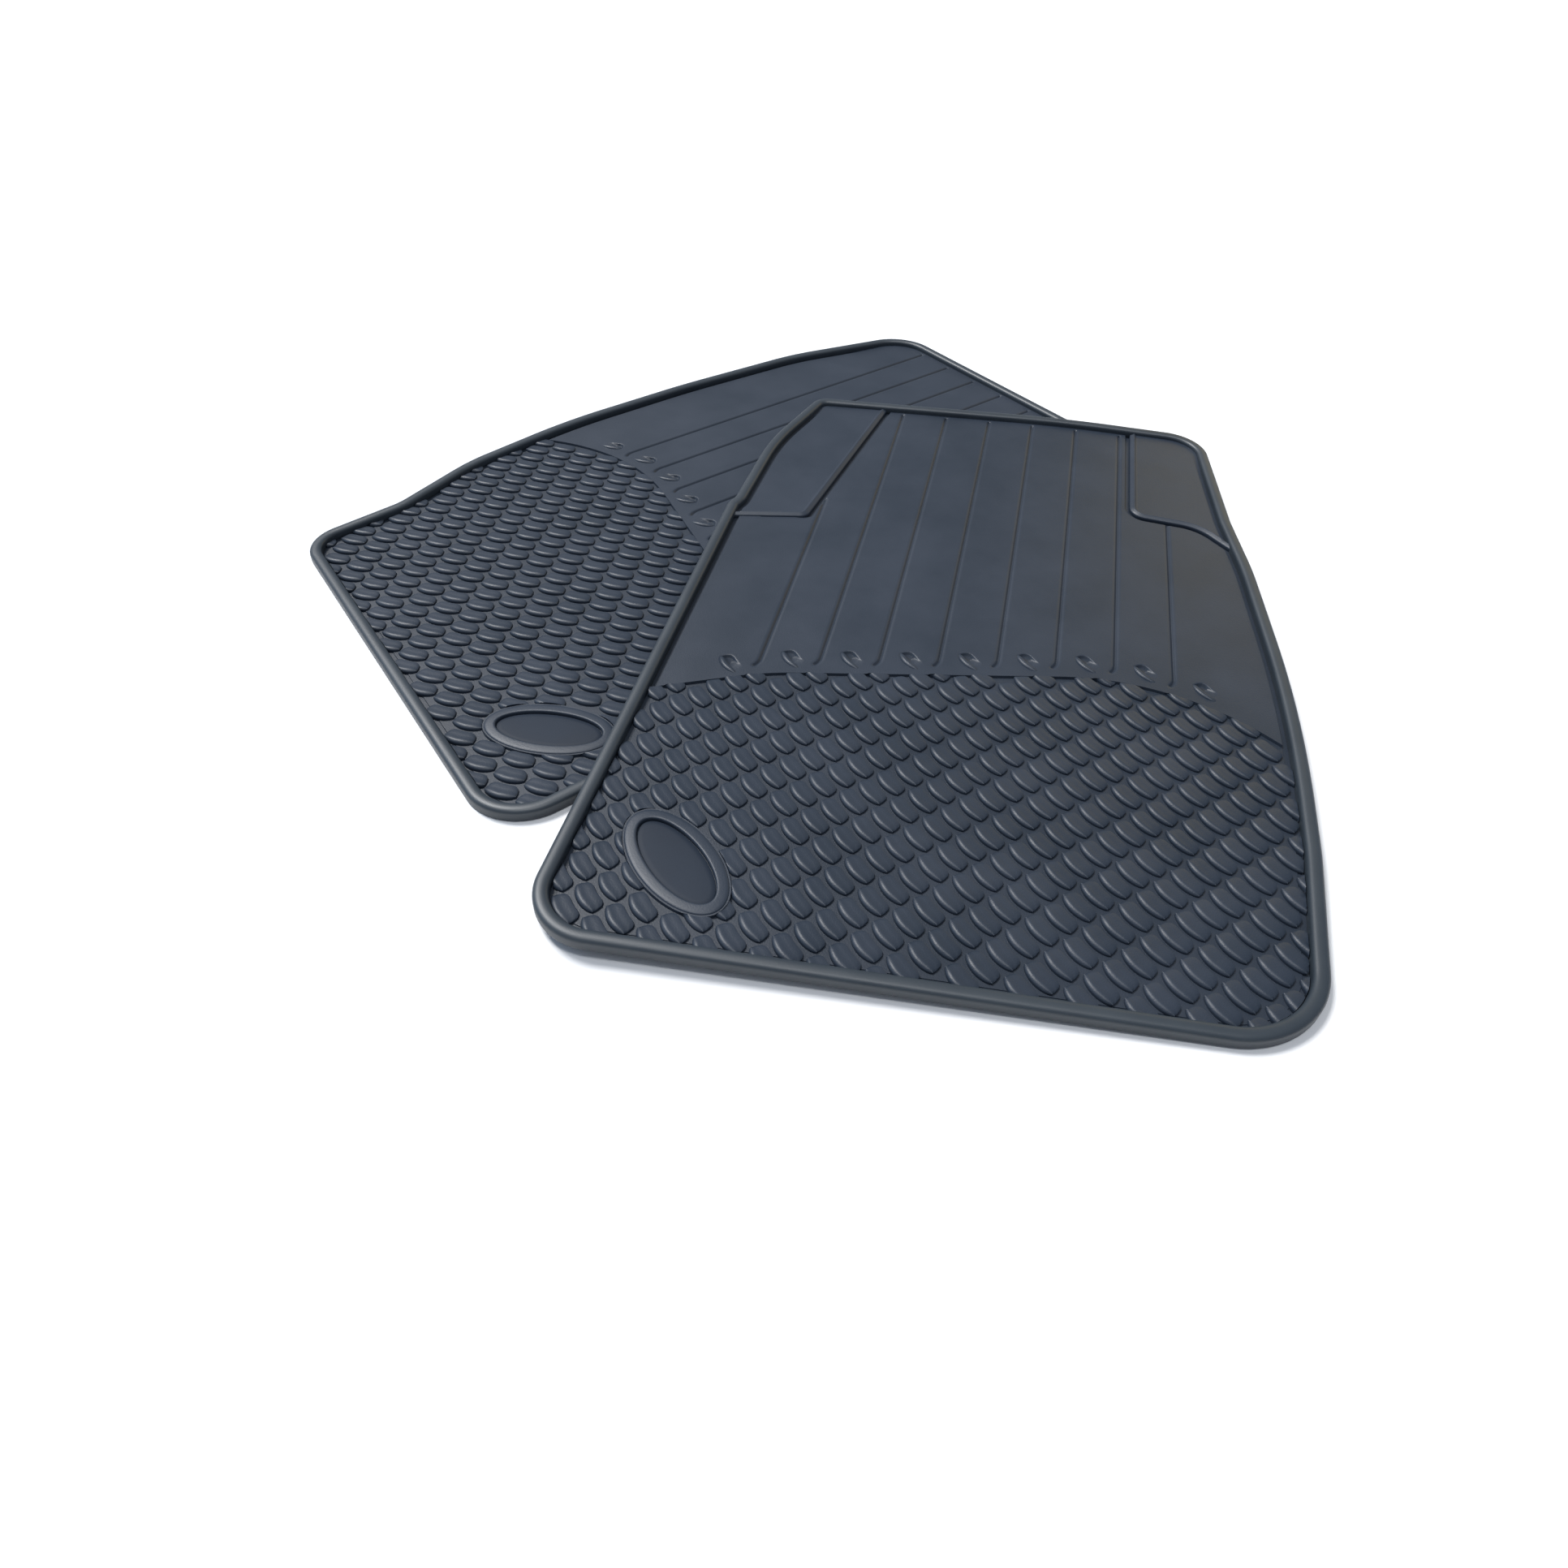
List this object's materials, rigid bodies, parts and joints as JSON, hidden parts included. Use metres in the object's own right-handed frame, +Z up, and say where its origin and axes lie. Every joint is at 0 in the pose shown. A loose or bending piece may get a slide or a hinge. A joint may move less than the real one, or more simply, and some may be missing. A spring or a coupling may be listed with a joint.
{
  "type": "floor mat set",
  "caption": "Pair of moulded rubber vehicle floor mats, one lying across the other, with raised rims, studded heel areas and grooved toe areas.",
  "frame": {"origin": "centre of the pair's footprint, on the floor that it lies on", "axes": "+Z up from the floor; the upper mat's toe end points roughly along +Y, with its heel end towards -Y"},
  "size_m": [0.8531, 0.9789, 0.0275],
  "materials": {
    "mat_rubber": "satin, finely pebbled",
    "rim_rubber": "satin, smooth",
    "badge_rubber": "satin, smooth"
  },
  "bodies": {
    "lower_mat": {"lower_sheet": "mat_rubber", "lower_rim": "rim_rubber", "lower_tread_studs": "mat_rubber", "lower_toe_nubs": "mat_rubber", "lower_badge_ring": "badge_rubber", "lower_badge_inlay": "badge_rubber", "lower_underside_grips": "mat_rubber"},
    "upper_mat": {"upper_sheet": "mat_rubber", "upper_rim": "rim_rubber", "upper_tread_studs": "mat_rubber", "upper_toe_nubs": "mat_rubber", "upper_badge_ring": "badge_rubber", "upper_badge_inlay": "badge_rubber", "upper_underside_grips": "mat_rubber", "upper_left_corner_panel": "mat_rubber", "upper_right_corner_panel": "mat_rubber"}
  },
  "joints": [
    {"name": "upper_mat_lift", "type": "slide", "parent": "lower_mat", "child": "upper_mat", "axis": [0, 0, 1], "range_m": [0, 0.3]}
  ]
}
